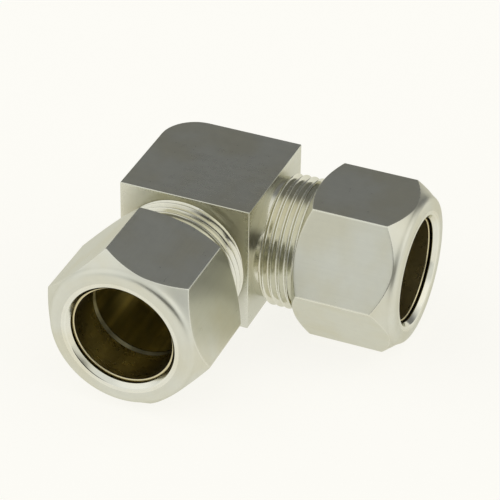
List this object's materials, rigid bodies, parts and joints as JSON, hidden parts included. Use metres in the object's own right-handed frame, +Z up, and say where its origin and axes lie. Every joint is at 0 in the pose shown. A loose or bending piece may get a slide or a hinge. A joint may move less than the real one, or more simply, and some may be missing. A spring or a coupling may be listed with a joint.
{
  "type": "compression fitting",
  "caption": "Equal elbow compression fitting with hexagon cap nuts and olives, joining metal tubes at a right angle.",
  "frame": {"origin": "middle of the elbow block's flat underside, 12.25 mm straight below the crossing of the two bore axes", "axes": "+X outward along one spigot, -Y outward along the other, +Z up, square to both bores"},
  "size_m": [0.0546, 0.0549, 0.0301],
  "materials": {
    "nickel_plated_brass": "nickel plated, satin, machine marks",
    "plain_brass": "plain turned brass"
  },
  "bodies": {
    "elbow": {"elbow_body": "nickel_plated_brass"},
    "front_olive": {"olive_front": "plain_brass"},
    "front_nut": {"nut_front": "nickel_plated_brass"},
    "right_olive": {"olive_right": "plain_brass"},
    "right_nut": {"nut_right": "nickel_plated_brass"}
  },
  "joints": [
    {"name": "front_olive_slide", "type": "slide", "parent": "elbow", "child": "front_olive", "axis": [0, -1, 0], "range_m": [-0.0004, 0.0106]},
    {"name": "front_nut_turn", "type": "hinge", "parent": "front_olive", "child": "front_nut", "pos_m": [0, -0.02, 0.01225], "axis": [0, -1, 0], "range_deg": [-84, 2520]},
    {"name": "right_olive_slide", "type": "slide", "parent": "elbow", "child": "right_olive", "axis": [1, 0, 0], "range_m": [-0.00062, 0.0106]},
    {"name": "right_nut_turn", "type": "hinge", "parent": "right_olive", "child": "right_nut", "pos_m": [0.02, 0, 0.01225], "axis": [1, 0, 0], "range_deg": [-140, 2520]}
  ],
  "couplings": [
    {"joint": "front_olive_slide", "follows": "front_nut_turn", "m_per_rad": 0.00023873},
    {"joint": "right_olive_slide", "follows": "right_nut_turn", "m_per_rad": 0.00023873}
  ]
}
